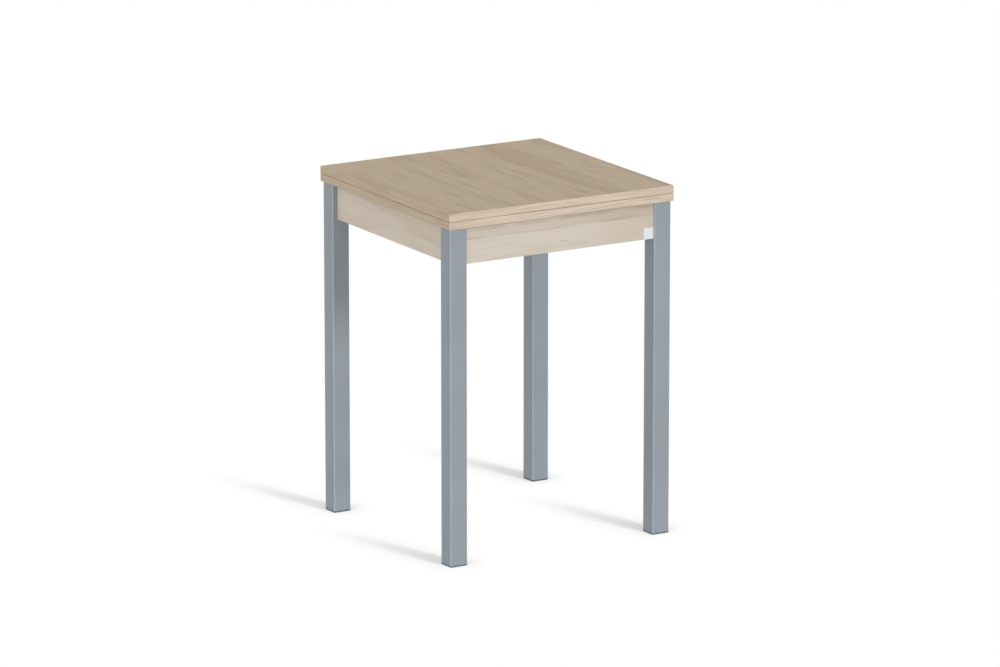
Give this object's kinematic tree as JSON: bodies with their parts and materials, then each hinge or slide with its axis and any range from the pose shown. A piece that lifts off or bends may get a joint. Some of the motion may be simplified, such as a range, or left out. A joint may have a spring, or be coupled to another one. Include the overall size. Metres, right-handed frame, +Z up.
{
  "type": "swivel extending table",
  "caption": "Square kitchen table on square steel legs; the top swivels a quarter turn and its upper leaf folds open like a book to double the surface.",
  "frame": {"origin": "centre of the closed table, on the floor", "axes": "+X to the right along the front apron, -Y the front, +Z up"},
  "size_m": [0.5422, 0.54, 0.75],
  "materials": {
    "leg_paint": "satin metallic grey powder coat",
    "foot_plastic": "moulded polyethylene, fine texture",
    "nylon": "natural nylon",
    "oak_board": "chipboard faced with matt light oak melamine",
    "oak_edging": "printed plastic edge band, light oak",
    "pivot_board": "chipboard faced with white melamine",
    "tag_film": "blank white film",
    "bumper_rubber": "translucent soft pad",
    "zinc_steel": "bright zinc plate",
    "hinge_metal": "nickel plate"
  },
  "bodies": {
    "base": {"leg_front_left": "leg_paint", "leg_front_right": "leg_paint", "leg_back_left": "leg_paint", "leg_back_right": "leg_paint", "foot_cap_front_left": "foot_plastic", "foot_cap_front_right": "foot_plastic", "foot_cap_back_left": "foot_plastic", "foot_cap_back_right": "foot_plastic", "glide_cap_front_left": "nylon", "glide_cap_front_right": "nylon", "glide_cap_back_left": "nylon", "glide_cap_back_right": "nylon", "apron_front": "oak_board", "apron_back": "oak_board", "apron_left": "oak_board", "apron_right": "oak_board", "apron_edging": "oak_edging", "blank_tag": "tag_film", "leg_tabs": "leg_paint", "tab_screws": "zinc_steel", "pivot_board": "pivot_board", "pivot_board_brackets": "zinc_steel", "bracket_screws": "zinc_steel", "swivel_base_plate": "zinc_steel", "base_plate_screws": "zinc_steel", "slide_ring": "nylon", "pivot_bush": "nylon"},
    "lower_leaf": {"lower_leaf_panel": "oak_board", "lower_leaf_edging": "oak_edging", "leaf_bumpers": "bumper_rubber", "swivel_top_plate": "zinc_steel", "top_plate_screws": "zinc_steel", "stop_pin": "zinc_steel", "pivot_stud": "zinc_steel", "pivot_washer": "zinc_steel", "spring_washer": "zinc_steel", "pivot_lock_nut": "zinc_steel", "hinge_front_lower_half": "hinge_metal", "hinge_back_lower_half": "hinge_metal", "lower_hinge_screws": "zinc_steel", "hinge_pins": "hinge_metal"},
    "upper_leaf": {"upper_leaf_panel": "oak_board", "upper_leaf_edging": "oak_edging", "hinge_front_upper_half": "hinge_metal", "hinge_back_upper_half": "hinge_metal", "upper_hinge_screws": "zinc_steel"}
  },
  "joints": [
    {"name": "top_swivel", "type": "hinge", "parent": "base", "child": "lower_leaf", "pos_m": [0.135, -0.135, 0.7127], "axis": [0, 0, 1], "range_deg": [0, 90]},
    {"name": "leaf_fold", "type": "hinge", "parent": "lower_leaf", "child": "upper_leaf", "pos_m": [0.2703, 0, 0.7336], "axis": [0, 1, 0], "range_deg": [0, 180]}
  ]
}
